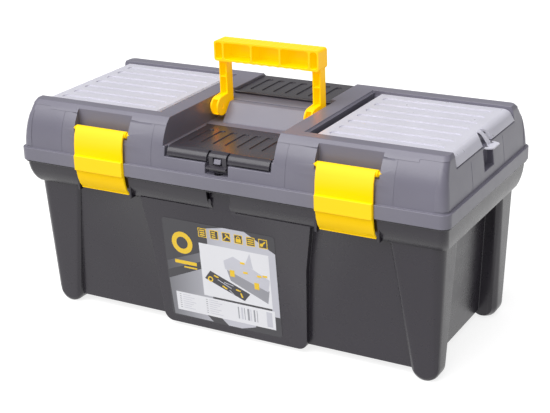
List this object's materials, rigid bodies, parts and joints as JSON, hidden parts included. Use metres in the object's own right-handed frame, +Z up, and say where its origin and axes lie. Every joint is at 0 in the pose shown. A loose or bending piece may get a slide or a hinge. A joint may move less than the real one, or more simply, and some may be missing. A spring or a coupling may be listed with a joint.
{
  "type": "toolbox with tray",
  "caption": "Moulded plastic toolbox with hinged lid, clear organisers, small compartments, folding handle, latches and lift-out tray.",
  "frame": {"origin": "on the floor, under the middle of the box", "axes": "+X to the right as seen from the latches' side, -Y to the front, where the latches are, +Z up"},
  "size_m": [0.5672, 0.2653, 0.3345],
  "materials": {
    "base_plastic": "charcoal moulded plastic, fine grain",
    "lid_plastic": "mid grey moulded plastic, satin",
    "label_sheet": "printed sheet label, glossy",
    "handle_plastic": "warm yellow moulded plastic, semi gloss",
    "pin_plastic": "warm yellow moulded plastic, semi gloss",
    "latch_plastic": "bright yellow moulded plastic, satin",
    "clear_plastic": "milky clear plastic, glossy",
    "smoke_plastic": "dark smoke plastic, glossy",
    "pin_steel": "bright wire",
    "tray_plastic": "black moulded plastic, satin",
    "divider_plastic": "grey moulded plastic, satin"
  },
  "bodies": {
    "base": {"base": "base_plastic", "label": "label_sheet"},
    "lid": {"lid": "lid_plastic", "hinge_pin_left": "pin_steel", "hinge_pin_right": "pin_steel", "organizer_divider_left_front": "tray_plastic", "organizer_divider_left_rear": "tray_plastic", "organizer_divider_right_front": "tray_plastic", "organizer_divider_right_rear": "tray_plastic"},
    "handle": {"handle": "handle_plastic", "handle_pin_left": "pin_plastic", "handle_pin_right": "pin_plastic"},
    "latch_left": {"latch_left": "latch_plastic"},
    "latch_right": {"latch_right": "latch_plastic"},
    "organizer_lid_left": {"organizer_lid_left": "clear_plastic"},
    "organizer_lid_right": {"organizer_lid_right": "clear_plastic"},
    "front_compartment_lid": {"front_compartment_lid": "smoke_plastic"},
    "rear_compartment_lid": {"rear_compartment_lid": "smoke_plastic"},
    "tray": {"tray": "tray_plastic", "tray_divider_left": "divider_plastic", "tray_divider_right": "divider_plastic", "tray_divider_rear": "divider_plastic"}
  },
  "joints": [
    {"name": "lid_hinge", "type": "hinge", "parent": "base", "child": "lid", "pos_m": [0, 0.1295, 0.198], "axis": [-1, 0, 0], "range_deg": [0, 105]},
    {"name": "latch_left_pivot", "type": "hinge", "parent": "lid", "child": "latch_left", "pos_m": [-0.1608, -0.117, 0.2425], "axis": [-1, 0, 0], "range_deg": [0, 110]},
    {"name": "latch_right_pivot", "type": "hinge", "parent": "lid", "child": "latch_right", "pos_m": [0.1608, -0.117, 0.2425], "axis": [-1, 0, 0], "range_deg": [0, 110]},
    {"name": "handle_fold", "type": "hinge", "parent": "lid", "child": "handle", "pos_m": [0, -0.0115, 0.2565], "axis": [-1, 0, 0], "range_deg": [-104, 0]},
    {"name": "organizer_left_hinge", "type": "hinge", "parent": "lid", "child": "organizer_lid_left", "pos_m": [-0.1065, 0, 0.2612], "axis": [0, 1, 0], "range_deg": [0, 100]},
    {"name": "organizer_right_hinge", "type": "hinge", "parent": "lid", "child": "organizer_lid_right", "pos_m": [0.1065, 0, 0.2612], "axis": [0, -1, 0], "range_deg": [0, 100]},
    {"name": "front_lid_hinge", "type": "hinge", "parent": "lid", "child": "front_compartment_lid", "pos_m": [0, -0.0315, 0.237], "axis": [-1, 0, 0], "range_deg": [0, 90]},
    {"name": "rear_lid_hinge", "type": "hinge", "parent": "lid", "child": "rear_compartment_lid", "pos_m": [0, 0.0325, 0.2622], "axis": [1, 0, 0], "range_deg": [0, 90]},
    {"name": "tray_lift", "type": "slide", "parent": "base", "child": "tray", "axis": [0, 0, 1], "range_m": [0, 0.092]}
  ],
  "couplings": [
    {"joint": "tray_lift", "follows": "lid_hinge", "m_per_rad": 0.05}
  ]
}
